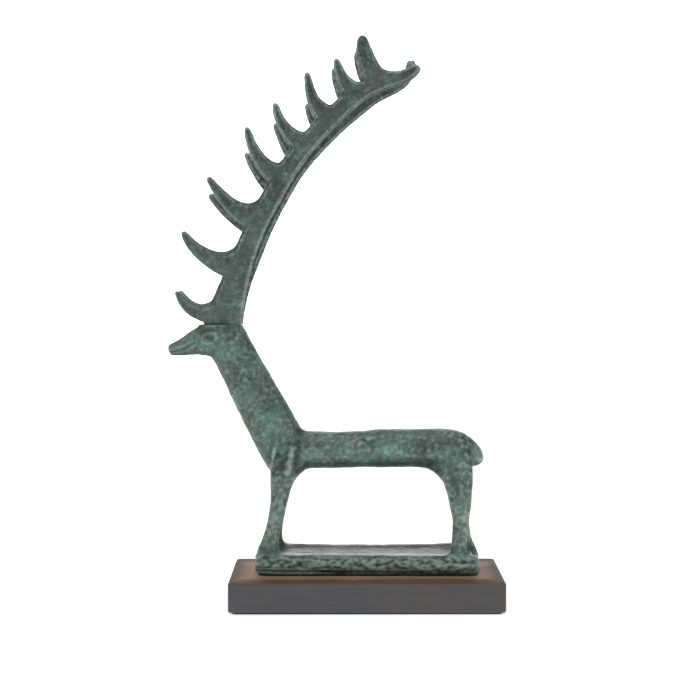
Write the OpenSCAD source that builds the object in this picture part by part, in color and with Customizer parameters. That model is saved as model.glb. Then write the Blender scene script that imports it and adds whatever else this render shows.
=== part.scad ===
// Standing stag in cast bronze with two long raked antlers, bolted to a stained wooden plinth.
// +Z is up, the stag faces -X, and its left side is towards -Y.
// The origin is the middle of the felt's underside, which is what the statuette rests on.

/* [Plinth] */
// Length of the wooden plinth, along the stag
plinth_l = 150; // [140:1:190]
// Depth of the wooden plinth, across the stag
plinth_w = 75; // [56:1:100]
// Height of the wooden plinth
plinth_h = 16; // [13:0.5:30]
// Radius of the plinth's upright corners
plinth_corner_r = 2.5; // [1.5:0.5:8]
// Radius worn along the plinth's long edges
plinth_edge_r = 0.8; // [0.4:0.1:1.4]

/* [Felt] */
// Thickness of the felt sheet under the plinth
felt_t = 1; // [0.6:0.1:3]
// Margin of bare wood left round the felt
felt_margin = 2; // [1:0.5:6]

/* [Ground plate] */
// Length of the bronze ground plate
plate_l = 124; // [116:1:138]
// Width of the ground plate over its two rails
plate_w = 36; // [30:1:50]
// Height of the two rails that run along the ground plate
rail_h = 11; // [9.5:0.5:14]
// Thickness of a rail where it is roundest
rail_d = 12; // [10:0.5:14]
// Thickness of the web between the rails
web_t = 7.5; // [7:0.5:9]

/* [Stag] */
// Distance from the shoulders to the hips
body_l = 98; // [88:1:104]
// Depth of the barrel of the body
body_d = 20; // [17:0.5:25]
// Height of the body's middle above the ground plate's underside
body_h = 68; // [56:1:84]
// Rise from the body's middle to the antler seat on top of the head
neck_rise = 70; // [58:1:88]
// How far the head stands forward of the shoulders
neck_reach = 33; // [26:1:42]
// Depth of the neck, front to back, halfway up
neck_d = 24.5; // [20:0.5:29]
// Distance from the middle of the antler seat to the tip of the muzzle
muzzle_l = 30; // [26:0.5:38]
// Length of the tail past the hips
tail_l = 15; // [12:0.5:22]

/* [Antlers] */
// Height of the antlers above their seat
antler_h = 156; // [120:1:190]
// Reach of the antlers back from their seat
antler_reach = 108; // [85:1:130]
// Widest distance between the two beams
antler_spread = 44; // [30:1:60]
// Thickness of an antler at its foot
antler_t = 6.4; // [5.4:0.2:8]
// Gap between the two antlers at their feet
seat_gap = 1; // [0.6:0.2:3]

/* [Fixings] */
// Diameter of the mounting studs
stud_d = 4; // [3:1:5]
// Distance from the plinth's middle to each stud
stud_offset = 38; // [26:1:44]
// Depth of each stud in the bronze
stud_bite = 5.5; // [4:0.5:6]
// Depth of wood left above each counterbore
wood_grip = 8; // [5:0.5:9]
// Thickness of a nut
nut_t = 3.2; // [2.4:0.2:4]
// Width of a nut across its flats
nut_flats = 7; // [5.5:0.5:8]
// Thickness of a washer
washer_t = 0.8; // [0.5:0.1:1.2]
// Outer diameter of a washer
washer_d = 9; // [8.5:0.5:12]
// Diameter of an antler's dowel pin
pin_d = 3; // [2:0.2:3.2]
// Length of an antler's dowel pin
pin_l = 16; // [10:1:20]

/* [Hidden] */

$fn = 48;
LEFT = -1;
RIGHT = 1;
FRONT = -1;
REAR = 1;

bronze = [0.27, 0.38, 0.34];
wood = [0.34, 0.31, 0.31];
steel = [0.72, 0.73, 0.75];
felt = [0.13, 0.14, 0.15];

// Clearances
pin_clearance = 0.05;
pin_end_gap = 0.3;
stud_clearance = 0.02;
stud_hole_clearance = 0.25;
counterbore_clearance = 1.5;
stud_past_nut = 1.5;

// Levels
plinth_z = felt_t;
ground_z = felt_t + plinth_h;
counterbore_h = plinth_h - wood_grip;
counterbore_d = washer_d + 2 * counterbore_clearance;
stud_l = stud_bite + wood_grip + washer_t + nut_t + stud_past_nut;

// Landmarks of the stag, above the ground plate's underside
shoulder_inset = 2.5;
hip_outset = 2;
shoulder = [-body_l / 2 + shoulder_inset, 0, body_h];
hip = [body_l / 2 + hip_outset, 0, body_h];
seat = [shoulder[0] - neck_reach, 0, body_h + neck_rise];
rail_y = (plate_w - rail_d) / 2;
antler_y = (antler_t + seat_gap) / 2;

// Where the limbs' shapes were drawn: each table below holds millimetres at these sizes
DRAWN_BODY_D = 20;
DRAWN_BODY_H = 68;
DRAWN_NECK_D = 24.5;
DRAWN_MUZZLE = 30;
DRAWN_TAIL = 15;
DRAWN_ANTLER_H = 156;
DRAWN_REACH = 108;
DRAWN_ANTLER_T = 6.4;

// Barrel of the body: share of the way from shoulder to hip, height of the middle, half depth, half width
BARREL = [
    [-0.07, -2.5, 7, 6.5], [0.05, 0, 10.6, 9.2], [0.27, -0.4, 9.7, 9.6], [0.48, 0.2, 10.1, 10],
    [0.72, 0.4, 9.9, 9.8], [0.88, -0.2, 10.8, 10.1]
];

// Neck: share of the way from shoulder to seat, forward bow, half depth, half width
NECK = [
    [-0.12, 0, 10.5, 9], [0.1, 0, 13.5, 10.6], [0.4, 1.5, 12.3, 10.2], [0.72, 1.9, 11.1, 9.4],
    [0.9, 0.6, 10.3, 9], [1.06, 0, 10.2, 9]
];

// Head, from inside the neck to the muzzle:
// forward of the seat, height from the seat, half height, half width
HEAD = [
    [-3, -9.6, 8.6, 7.6], [4, -9.6, 9.6, 8.8], [10, -9.5, 9.5, 8.2], [14.3, -11, 7.7, 7],
    [19.4, -12.8, 6, 5.6], [25, -14.5, 4.3, 4.4], [30, -15.6, 2.9, 3.2]
];

// Rump and tail, on from the barrel: back from the hip, height of the middle, half depth, half width
TAIL = [[0, -1, 10.7, 9.4], [5.5, -2.8, 8.2, 6.6], [10.8, -5.2, 5.2, 4.2], [15, -8.4, 2, 2.6]];

// Legs, top to foot: height above the ground plate's underside, forward of the joint, half depth, half width
FORELEG = [
    [70, -1.5, 7.6, 3], [55, -0.5, 7.2, 4.7], [48, 0.6, 5.6, 4.4], [40, 2, 4.5, 4], [32, 3.4, 3.9, 3.7],
    [25, 5.1, 3.7, 3.6], [18, 6.9, 4.4, 3.8], [12, 7.8, 6.3, 3.9], [1, 8, 6.6, 3.4]
];
HINDLEG = [
    [70, 1, 8.6, 3], [59, 1, 9, 4.9], [50, 0.1, 8, 4.8], [41, -1.3, 6, 4.5], [34, -1.3, 4.9, 4.1],
    [28, -1, 4.2, 3.8], [21, -0.3, 3.6, 3.5], [15, 0.2, 3.9, 3.7], [10, 0, 5.4, 3.9], [1, 0, 5.8, 3.4]
];
// How much further back the right hind foot stands,
// how far down the leg the step begins, and how fast it grows
right_hind_step = 5.5;
step_from = 0.5;
step_rate = 2.2;
// Distance of the legs' tops from the middle plane
leg_top_y = 6;

// Antler beams: back from the seat, height above it, half depth, share of the foot's thickness
LEFT_BEAM = [
    [-1, -4, 10.9, 1], [0, 0, 10.5, 1], [5, 19, 7.6, 1], [10.5, 35, 6, 1], [17, 51, 5.4, 1],
    [27.5, 70.5, 5.3, 1], [39, 90, 5.2, 0.95], [52.5, 105, 4.9, 0.9], [67, 119, 4.9, 0.9],
    [79, 128.8, 5, 0.9], [93, 132.4, 3.4, 0.85], [101, 133.8, 3.2, 0.8], [107, 138.2, 2.6, 0.7]
];
RIGHT_BEAM = [
    [-1, -4, 10.9, 1], [0, 0, 10.5, 1], [5, 18.5, 7.6, 1], [12, 34.5, 6.6, 1], [20, 54, 6, 1],
    [28, 69, 5.8, 1], [37, 84.5, 5.3, 0.95], [47.5, 97, 4.9, 0.9], [60.5, 110, 4.7, 0.9],
    [74.5, 122, 4.7, 0.9], [85.5, 130, 4.4, 0.85], [96, 133.5, 3.7, 0.85], [101.5, 137, 3.1, 0.8],
    [104.5, 142.5, 2.9, 0.75], [104.6, 148.5, 2.2, 0.7]
];

// Tines, root to tip: back from the seat, height above it, half depth
BROW_TINE = [[1, 7, 6.6], [-7, 6.2, 5], [-14.5, 7, 3.9], [-21.5, 11.5, 3], [-25.2, 18.4, 1.7]];
LEFT_TINES = [
    BROW_TINE,
    [[8, 29.5, 7], [1.5, 32.5, 5.6], [-7.5, 37, 4.2], [-15.5, 43, 3.3], [-20.2, 50.4, 1.8]],
    [[20, 56, 6.4], [12, 60, 4.8], [5, 65.8, 3.6], [-0.8, 72.4, 2.9], [-6, 79.6, 1.7]],
    [[33, 78, 5.8], [26, 84, 4.5], [20.5, 91, 3.4], [16.8, 98.6, 2.6], [15, 106.2, 1.6]],
    [[47, 96, 5.6], [40, 100.5, 4.2], [35, 106.5, 3.2], [31.6, 112.8, 2.4], [30.2, 119, 1.6]],
    [[58.5, 110, 5.4], [53, 116.5, 4.2], [50, 122.5, 3.2], [48.4, 129, 2.4], [47.4, 135.4, 1.6]],
    [[73, 124, 5.2], [69.2, 128, 4.4], [66.4, 132.6, 3.4], [64.3, 137.6, 2.6], [63, 142.8, 1.8]],
    [[84, 130, 6.4], [82, 136.5, 5], [80, 143, 4.1], [78.6, 149.6, 3.5], [78, 156.2, 2.8]]
];
RIGHT_TINES = [
    BROW_TINE,
    [[8, 28, 7], [2, 31, 5.6], [-7.5, 35, 4.2], [-15.5, 40.5, 3.3], [-20, 47, 1.8]],
    [[20, 52, 6], [12.5, 55.4, 4.8], [5, 60, 3.7], [-2, 65.8, 3], [-8.4, 72.2, 1.7]],
    [[33, 71.5, 5.4], [26.5, 76, 4.5], [21.5, 81, 3.5], [16.5, 87.6, 2.8], [11.8, 95.6, 1.6]],
    [[46, 88.5, 5.2], [40.3, 92.5, 4.3], [36, 97, 3.4], [32, 104, 2.5], [28.2, 112.4, 1.6]],
    [[60.6, 104.2, 5.2], [55.2, 107.5, 4.1], [51.4, 111.6, 3.3], [48.3, 117.4, 2.5], [46.4, 123.2, 1.6]],
    [[75, 118.5, 5], [69.3, 124.6, 4.2], [65.6, 130.5, 3.3], [62.8, 137, 2.6], [61.6, 143.2, 1.7]],
    [[87, 127, 5.6], [82.5, 133, 4.6], [79, 139, 3.8], [76, 146, 3.1], [74.6, 152.4, 2]]
];
// A tine's half width: a share of its half depth, and at most a share of the antler's thickness
tine_flatness = 0.86;
root_share = 0.4;
// How far outwards a tine's tip leans
tine_splay = 1.5;
// Share of the antlers' height at which they are furthest apart
widest_at = 0.72;

// Where the first point of each ring stands, as a share of one facet
ring_turn = 0.15;
// How far round a limb's end its last ring stands, in degrees
END_ANGLE = 86;

// Eye: forward of the seat, away from the middle plane, height from the seat, radius
EYE = [8, 5.6, -6.8, 3.6];

// Facets round a rail and round an eye
RAIL_FACETS = 28;
EYE_FACETS = 20;

// Block that cuts the castings flat at the seat: its length and width, and its height
SEAT_CUT = [60, 40];

// How far a cutter passes a face
past = 1;
// A stud's end chamfer, as a share of its diameter
stud_chamfer = 0.12;

// Smooth curve through rows of any width
function blend_rows(a, b, c, d, t) =
    0.5 * (2 * b + (c - a) * t + (2 * a - 5 * b + 4 * c - d) * t * t
        + (3 * b - a - 3 * c + d) * t * t * t);
function smooth_rows(rows, steps) =
    let (last = len(rows) - 1)
    [
        for (i = [0 : last - 1], k = [0 : steps - 1])
            blend_rows(
                rows[max(i - 1, 0)], rows[i], rows[i + 1], rows[min(i + 2, last)], k / steps),
        rows[last]
    ];
function unit(v) = v / norm(v);
function place_of(row) = [row[0], row[1], row[2]];
function heading(rows, i) =
    unit(place_of(rows[min(i + 1, len(rows) - 1)]) - place_of(rows[max(i - 1, 0)]));

// A round end: the last row shrinks over rings that close on its point
function with_round_end(rows, rings) =
    let (
        last = len(rows) - 1,
        tip = rows[last],
        along = heading(rows, last),
        r = tip[3]
    )
    [
        for (i = [0 : last - 1]) rows[i],
        for (k = [0 : rings])
            let (a = END_ANGLE * k / rings)
            [
                each place_of(tip) - along * r * (1 - sin(a)),
                tip[3] * cos(a), tip[4] * cos(a)
            ]
    ];

// One elliptical ring, its depth in the XZ plane and its width across it
function ring(row, along, sides) =
    let (across = unit([0, 1, 0] - along[1] * along), deep = cross(across, along))
    [
        for (k = [0 : sides - 1])
            let (a = 360 * (k + ring_turn) / sides)
            place_of(row) + deep * row[3] * cos(a) + across * row[4] * sin(a)
    ];

// A limb: an elliptical bar through rows of x, y, z, half depth, half width
module limb(rows, sides = 12, steps = 2, end_rings = 2) {
    path = with_round_end(smooth_rows(rows, steps), end_rings);
    count = len(path);
    points = [for (i = [0 : count - 1]) each ring(path[i], heading(path, i), sides)];
    skin = [
        for (i = [0 : count - 2], k = [0 : sides - 1])
            let (
                a = i * sides + k, b = i * sides + (k + 1) % sides,
                c = a + sides, d = b + sides
            )
            each [[a, c, b], [b, c, d]]
    ];
    first_cap = [for (k = [0 : sides - 1]) k];
    last_cap = [for (k = [sides - 1 : -1 : 0]) (count - 1) * sides + k];
    polyhedron(points = points, faces = concat(skin, [first_cap, last_cap]));
}

// Section of the ground plate: two rails with flat undersides, and the web between them
module plate_section() {
    difference() {
        union() {
            translate([-rail_y, 0]) square([2 * rail_y, web_t]);
            for (side = [LEFT, RIGHT])
                translate([side * rail_y, rail_h - rail_d / 2]) circle(d = rail_d, $fn = RAIL_FACETS);
        }
        translate([-plate_w, -rail_d]) square([2 * plate_w, rail_d]);
    }
}

module ground_plate() {
    translate([-plate_l / 2, 0, 0])
        rotate([90, 0, 90])
            linear_extrude(plate_l) plate_section();
}

module trunk() {
    k = body_d / DRAWN_BODY_D;
    back = tail_l / DRAWN_TAIL;
    limb([
        for (s = BARREL)
            [shoulder[0] + s[0] * (hip[0] - shoulder[0]), 0, body_h + s[1] * k, s[2] * k, s[3] * k],
        for (s = TAIL) [hip[0] + s[0] * back, 0, body_h + s[1] * k, s[2] * k, s[3] * k]
    ], 16);
}

module neck() {
    k = neck_d / DRAWN_NECK_D;
    forward = unit([shoulder[2] - seat[2], 0, seat[0] - shoulder[0]]);
    limb([
        for (s = NECK)
            [each shoulder + s[0] * (seat - shoulder) + forward * s[1] * k, s[2] * k, s[3] * k]
    ], 16);
}

module head() {
    k = muzzle_l / DRAWN_MUZZLE;
    limb([
        for (s = HEAD) [seat[0] - s[0] * k, 0, seat[2] + s[1], s[2], s[3]]
    ], 14);
}

module eyes() {
    for (side = [LEFT, RIGHT])
        translate([seat[0] - EYE[0], side * EYE[1], seat[2] + EYE[2]])
            sphere(r = EYE[3], $fn = EYE_FACETS);
}

// A leg, its foot on the rail; a step moves the foot back and leaves the thigh where it is
module leg(table, joint, side, step = 0) {
    k = body_h / DRAWN_BODY_H;
    limb([
        for (s = table)
            let (
                down = 1 - s[0] / DRAWN_BODY_H,
                moved = min(1, max(0, down - step_from) * step_rate),
                out = leg_top_y + (rail_y - leg_top_y) * max(0, down)
            )
            [joint[0] - s[1] + step * moved, side * out, s[0] * k, s[2], s[3]]
    ], 12);
}

// The figure and its ground plate, resized to the size that they have, which joins them in one skin
module stag_skin() {
    resize([0, 0, 0])
        difference() {
            union() {
                ground_plate();
                trunk();
                neck();
                head();
                eyes();
                for (side = [LEFT, RIGHT]) {
                    leg(FORELEG, shoulder, side);
                    leg(HINDLEG, hip, side, side == RIGHT ? right_hind_step : 0);
                }
            }
            above_seat();
        }
}

module stag_casting() {
    color(bronze)
        translate([0, 0, ground_z])
            difference() {
                stag_skin();
                for (end = [FRONT, REAR])
                    translate([end * stud_offset, 0, -past])
                        cylinder(d = stud_d + 2 * stud_clearance, h = stud_bite + pin_end_gap + past);
                for (side = [LEFT, RIGHT])
                    pin_hole(side);
            }
}

// Everything above the flat that the antlers stand on
module above_seat() {
    translate([seat[0] - SEAT_CUT[0] / 2, -SEAT_CUT[0] / 2, seat[2]])
        cube([SEAT_CUT[0], SEAT_CUT[0], SEAT_CUT[1]]);
}

module below_seat() {
    translate([0, 0, -SEAT_CUT[1]]) above_seat();
}

module pin_hole(side) {
    depth = pin_l + 2 * pin_end_gap;
    translate([seat[0], side * antler_y, seat[2] - depth / 2])
        cylinder(d = pin_d + 2 * pin_clearance, h = depth);
}

// Distance of an antler from the middle plane at a height above its seat
function lyre(height) =
    antler_y + (antler_spread / 2 - antler_y) * sin(90 * max(0, height) / (widest_at * DRAWN_ANTLER_H));

function antler_row(side, back, height, depth, thick, splay) = [
    seat[0] + back * antler_reach / DRAWN_REACH,
    side * (lyre(height) + splay),
    seat[2] + height * antler_h / DRAWN_ANTLER_H,
    depth,
    thick * antler_t / DRAWN_ANTLER_T
];

module beam(side, table) {
    limb([
        for (s = table) antler_row(side, s[0], s[1], s[2], s[3] * DRAWN_ANTLER_T / 2, 0)
    ]);
}

module tine(side, table) {
    last = len(table) - 1;
    limb([
        for (i = [0 : last])
            let (s = table[i], thick = min(s[2] * tine_flatness, DRAWN_ANTLER_T * root_share))
            antler_row(side, s[0], s[1], s[2], thick, tine_splay * i / last)
    ], 10);
}

module antler(side, beam_table, tine_tables) {
    color(bronze)
        translate([0, 0, ground_z])
            difference() {
                resize([0, 0, 0])
                    difference() {
                        union() {
                            beam(side, beam_table);
                            for (t = tine_tables) tine(side, t);
                        }
                        below_seat();
                    }
                pin_hole(side);
            }
}

module antler_pin(side) {
    color(bronze)
        translate([seat[0], side * antler_y, ground_z + seat[2] - pin_l / 2])
            cylinder(d = pin_d, h = pin_l);
}

module rounded_slab(l, w, h, r) {
    linear_extrude(h)
        union() {
            square([l - 2 * r, w], center = true);
            square([l, w - 2 * r], center = true);
            for (x = [-1, 1], y = [-1, 1])
                translate([x * (l / 2 - r), y * (w / 2 - r)]) circle(r = r);
        }
}

module plinth() {
    e = plinth_edge_r;
    color(wood)
        translate([0, 0, plinth_z])
            difference() {
                hull() {
                    rounded_slab(plinth_l - 2 * e, plinth_w - 2 * e, plinth_h, plinth_corner_r - e);
                    translate([0, 0, e])
                        rounded_slab(plinth_l, plinth_w, plinth_h - 2 * e, plinth_corner_r);
                }
                for (end = [FRONT, REAR])
                    translate([end * stud_offset, 0, 0]) {
                        translate([0, 0, -past])
                            cylinder(d = stud_d + 2 * stud_hole_clearance, h = plinth_h + 2 * past);
                        translate([0, 0, -past])
                            cylinder(d = counterbore_d, h = counterbore_h + past);
                    }
            }
}

module stud(end) {
    chamfer = stud_d * stud_chamfer;
    color(steel)
        translate([end * stud_offset, 0, ground_z + stud_bite - stud_l])
            rotate_extrude()
                polygon([
                    [0, 0], [stud_d / 2 - chamfer, 0], [stud_d / 2, chamfer],
                    [stud_d / 2, stud_l - chamfer], [stud_d / 2 - chamfer, stud_l], [0, stud_l]
                ]);
}

module washer(end) {
    color(steel)
        translate([end * stud_offset, 0, plinth_z + counterbore_h - washer_t])
            difference() {
                cylinder(d = washer_d, h = washer_t);
                translate([0, 0, -past])
                    cylinder(d = stud_d + 2 * stud_hole_clearance, h = washer_t + 2 * past);
            }
}

module nut(end) {
    color(steel)
        translate([end * stud_offset, 0, plinth_z + counterbore_h - washer_t - nut_t])
            difference() {
                cylinder(d = nut_flats / cos(30), h = nut_t, $fn = 6);
                translate([0, 0, -past])
                    cylinder(d = stud_d + 2 * stud_clearance, h = nut_t + 2 * past);
            }
}

module base_felt() {
    color(felt)
        rounded_slab(
            plinth_l - 2 * felt_margin, plinth_w - 2 * felt_margin, felt_t, plinth_corner_r);
}

stag_casting();
antler(LEFT, LEFT_BEAM, LEFT_TINES);  // left_antler
antler(RIGHT, RIGHT_BEAM, RIGHT_TINES);  // right_antler
antler_pin(LEFT);  // left_antler_pin
antler_pin(RIGHT);  // right_antler_pin
plinth();
stud(FRONT);  // front_stud
stud(REAR);  // rear_stud
washer(FRONT);  // front_washer
washer(REAR);  // rear_washer
nut(FRONT);  // front_nut
nut(REAR);  // rear_nut
base_felt();
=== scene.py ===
"""A standing stag in cast bronze with two raked antlers, on a stained wooden plinth.

Sizes are in millimetres here and become metres where a mesh is made. +Z is up, the stag faces -X
and its left side is towards -Y. Places come from the frame's boxes.
"""

import math

import bpy
import numpy as np
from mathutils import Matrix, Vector, noise


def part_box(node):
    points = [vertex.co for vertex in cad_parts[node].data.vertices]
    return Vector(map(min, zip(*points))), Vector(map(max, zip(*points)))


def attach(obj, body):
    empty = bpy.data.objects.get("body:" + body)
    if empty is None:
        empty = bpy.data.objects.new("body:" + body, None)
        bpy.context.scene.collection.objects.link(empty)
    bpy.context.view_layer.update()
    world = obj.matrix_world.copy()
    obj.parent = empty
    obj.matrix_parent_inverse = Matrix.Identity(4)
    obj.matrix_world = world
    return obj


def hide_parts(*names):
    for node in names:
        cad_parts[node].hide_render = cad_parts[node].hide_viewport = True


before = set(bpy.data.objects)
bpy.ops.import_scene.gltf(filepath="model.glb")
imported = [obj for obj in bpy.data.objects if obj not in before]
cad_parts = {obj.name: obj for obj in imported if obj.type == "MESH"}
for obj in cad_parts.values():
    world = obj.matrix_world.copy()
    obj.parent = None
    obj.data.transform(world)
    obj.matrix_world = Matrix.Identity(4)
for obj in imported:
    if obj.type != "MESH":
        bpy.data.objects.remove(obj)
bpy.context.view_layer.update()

MM = 0.001


def node_box(name):
    """A CAD node's lowest and highest corners in millimetres."""
    low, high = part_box(name)
    return Vector(low) / MM, Vector(high) / MM


# ---------------------------------------------------------------- places, from the frame

plinth_low, plinth_high = node_box("plinth")
casting_low, casting_high = node_box("stag_casting")
felt_low, felt_high = node_box("base_felt")
pin_low, pin_high = node_box("left_antler_pin")

GROUND = plinth_high.z                       # top of the wood, underside of the bronze
SEAT_Z = casting_high.z                      # flat that the antlers stand on
SEAT_X = (pin_low.x + pin_high.x) / 2        # middle of that flat
PLATE_W = 36.0
PLATE_L = 124.0
RAIL_H = 11.0
RAIL_Y = 12.0
BODY_H = 68.0                                # height of the trunk's middle above the plate's underside
SHOULDER_X = -46.5
HIP_X = 51.0
LEFT = -1
RIGHT = 1

# ---------------------------------------------------------------- small tools


def select_none():
    if bpy.context.object and bpy.context.object.mode == "EDIT":
        bpy.ops.object.mode_set(mode="OBJECT")
    bpy.ops.object.select_all(action="DESELECT")


def pick(piece):
    select_none()
    piece.select_set(True)
    bpy.context.view_layer.objects.active = piece


def settle(piece, name=None):
    """Puts a piece's place in its mesh, and leaves its object at the origin."""
    pick(piece)
    bpy.ops.object.transform_apply(location=True, rotation=True, scale=True)
    if name:
        piece.name = name
        piece.data.name = name
    return piece


def apply_modifier(piece, kind, **settings):
    pick(piece)
    modifier = piece.modifiers.new(kind.lower(), kind)
    for key, value in settings.items():
        setattr(modifier, key, value)
    bpy.ops.object.modifier_apply(modifier=modifier.name)


def join(pieces, name):
    select_none()
    for piece in pieces:
        piece.select_set(True)
    bpy.context.view_layer.objects.active = pieces[0]
    bpy.ops.object.join()
    joined = bpy.context.object
    joined.name = name
    joined.data.name = name
    return joined


def faces_out(piece):
    pick(piece)
    bpy.ops.object.mode_set(mode="EDIT")
    bpy.ops.mesh.select_all(action="SELECT")
    bpy.ops.mesh.remove_doubles(threshold=1e-6)
    bpy.ops.mesh.normals_make_consistent(inside=False)
    bpy.ops.object.mode_set(mode="OBJECT")


def smooth_shade(piece, angle=None):
    pick(piece)
    if angle is None:
        bpy.ops.object.shade_smooth()
    else:
        bpy.ops.object.shade_smooth_by_angle(angle=math.radians(angle))


# ---------------------------------------------------------------- wax model: limbs drawn out ring by ring


def turn(angle, about):
    """Turns what is selected about the Y axis through a point. With no window the operator turns backwards."""
    bpy.ops.transform.rotate(
        value=-angle, orient_axis="Y", orient_type="GLOBAL", center_override=about)


def limb(name, rows, sides=16, levels=2):
    """A bar with oval sections. Each row is x, y, z, half depth in the XZ plane, half width along Y."""
    points = [Vector(row[:3]) * MM for row in rows]
    first, last = 0, len(rows) - 1

    def slope(i):
        step = points[min(i + 1, last)] - points[max(i - 1, first)]
        return math.atan2(step.x, step.z)

    select_none()
    bpy.ops.mesh.primitive_circle_add(
        vertices=sides, radius=1, fill_type="NGON", location=points[0])
    bar = bpy.context.object
    bpy.ops.object.transform_apply(location=True)
    bpy.ops.object.mode_set(mode="EDIT")
    bpy.ops.mesh.select_all(action="SELECT")
    bpy.ops.transform.resize(
        value=(rows[0][3] * MM, rows[0][4] * MM, 1), center_override=points[0])
    turn(slope(0), points[0])
    for i in range(1, last + 1):
        here = points[i]
        bpy.ops.mesh.extrude_region_move(
            TRANSFORM_OT_translate={"value": here - points[i - 1]})
        turn(-slope(i - 1), here)
        grow = (rows[i][3] / rows[i - 1][3], rows[i][4] / rows[i - 1][4], 1)
        bpy.ops.transform.resize(value=grow, center_override=here)
        turn(slope(i), here)
    bpy.ops.mesh.inset(thickness=min(rows[last][3:5]) * MM * 0.4)
    bpy.ops.object.mode_set(mode="OBJECT")
    faces_out(bar)
    apply_modifier(bar, "SUBSURF", levels=levels, render_levels=levels)
    return settle(bar, name)


def beside(rows, y=0.0, x=0.0, z=0.0):
    """Rows of x, z, half depth, half width, set at a place."""
    return [(x + a, y, z + b, c, d) for a, b, c, d in rows]


# ---------------------------------------------------------------- sculpting: strokes on a dense mesh


def coordinates(piece):
    flat = np.empty(len(piece.data.vertices) * 3)
    piece.data.vertices.foreach_get("co", flat)
    return flat.reshape(-1, 3) / MM


def normals(piece):
    flat = np.empty(len(piece.data.vertices) * 3)
    piece.data.vertices.foreach_get("normal", flat)
    return flat.reshape(-1, 3)


def put_back(piece, points):
    piece.data.vertices.foreach_set("co", (points * MM).ravel())
    piece.data.update()


def neighbours_mean(piece, values, rounds):
    """Averages values over the mesh's edges, round after round."""
    edges = np.empty(len(piece.data.edges) * 2, int)
    piece.data.edges.foreach_get("vertices", edges)
    a, b = edges.reshape(-1, 2).T
    count = len(values)
    links = np.bincount(a, minlength=count) + np.bincount(b, minlength=count)
    links = np.maximum(links, 1)
    columns = values.reshape(count, -1).T
    for _ in range(rounds):
        columns = np.array([
            (np.bincount(a, c[b], count) + np.bincount(b, c[a], count)) / links for c in columns])
    return columns.T.reshape(values.shape)


def hollowness(piece, rounds):
    """How far each point lies below the mean of what is round it: hollows positive, edges negative."""
    here = coordinates(piece)
    return ((neighbours_mean(piece, here, rounds) - here) * normals(piece)).sum(axis=1)


def ramp(values, low, high):
    t = np.clip((values - low) / (high - low), 0, 1)
    return t * t * (3 - 2 * t)


def line_distance(points, line):
    """Distance of each point from a polyline, as seen from the side, along Y."""
    best = np.full(len(points), 1e9)
    flat = points[:, (0, 2)]
    for start, end in zip(line[:-1], line[1:]):
        start, end = np.array(start, float), np.array(end, float)
        along = end - start
        t = np.clip(((flat - start) @ along) / max(along @ along, 1e-9), 0, 1)
        best = np.minimum(best, np.linalg.norm(flat - start - t[:, None] * along, axis=1))
    return best


def stroke(piece, line, width, depth, side, one_half=True):
    """Presses a groove along a line of x, z points, or raises a ridge where depth is negative. It works
    the faces that look to one side, on that side of the middle plane or on both."""
    points = coordinates(piece)
    facing = normals(piece)
    fall = np.exp(-(line_distance(points, line) / width) ** 2)
    fall = fall * ramp(facing[:, 1] * side, 0.0, 0.35)
    if one_half:
        fall = fall * ramp(points[:, 1] * side, 0.5, 2.0)
    put_back(piece, points - facing * (fall * depth)[:, None])


def ring_line(x, z, radius_x, radius_z, start=0, stop=360, steps=24, tilt=0):
    """An oval seen from the side, as a polyline."""
    c, s = math.cos(math.radians(tilt)), math.sin(math.radians(tilt))
    line = []
    for i in range(steps + 1):
        a = math.radians(start + (stop - start) * i / steps)
        u, v = radius_x * math.cos(a), radius_z * math.sin(a)
        line.append((x + u * c - v * s, z + u * s + v * c))
    return line


def melt_creases(piece, look, reach, rounds):
    """Fills the inner corners where limbs meet, as wax does. It looks for them over so many edges."""
    hollow = hollowness(piece, look)
    weight = ramp(hollow, reach * 0.25, reach)
    weight = np.clip(ramp(neighbours_mean(piece, weight, look + 2), 0.03, 0.45), 0.05, 1)
    points = coordinates(piece)
    for _ in range(rounds):
        mean = neighbours_mean(piece, points, 1)
        points = points + (mean - points) * (weight * 0.9)[:, None]
    put_back(piece, points)


def texture(name, kind, size, **settings):
    tex = bpy.data.textures.new(name, kind)
    tex.noise_scale = size * MM
    for key, value in settings.items():
        setattr(tex, key, value)
    return tex


def mask(piece, name, weights):
    group = piece.vertex_groups.new(name=name)
    steps = np.round(np.clip(weights, 0, 1) * 20).astype(int)
    for step in range(1, 21):
        picked = np.nonzero(steps == step)[0].tolist()
        if picked:
            group.add(picked, step / 20, "REPLACE")
    return group.name


def cast_skin(piece, lumps, grain, mid_level=0.5):
    """The uneven skin that a wax model, a sand core and a chasing hammer leave."""
    broad = texture(piece.name + "_broad", "CLOUDS", 13, noise_depth=2)
    small = texture(piece.name + "_small", "CLOUDS", 3.4, noise_depth=3)
    pits = texture(piece.name + "_pits", "VORONOI", 1.9, distance_metric="DISTANCE")
    apply_modifier(
        piece, "DISPLACE", texture=broad, texture_coords="GLOBAL", strength=lumps * MM, mid_level=0.5)
    apply_modifier(
        piece, "DISPLACE", texture=small, texture_coords="GLOBAL", strength=grain * MM, mid_level=0.5)
    apply_modifier(
        piece, "DISPLACE", texture=pits, texture_coords="GLOBAL", strength=grain * 0.55 * MM,
        mid_level=0.35)


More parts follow.
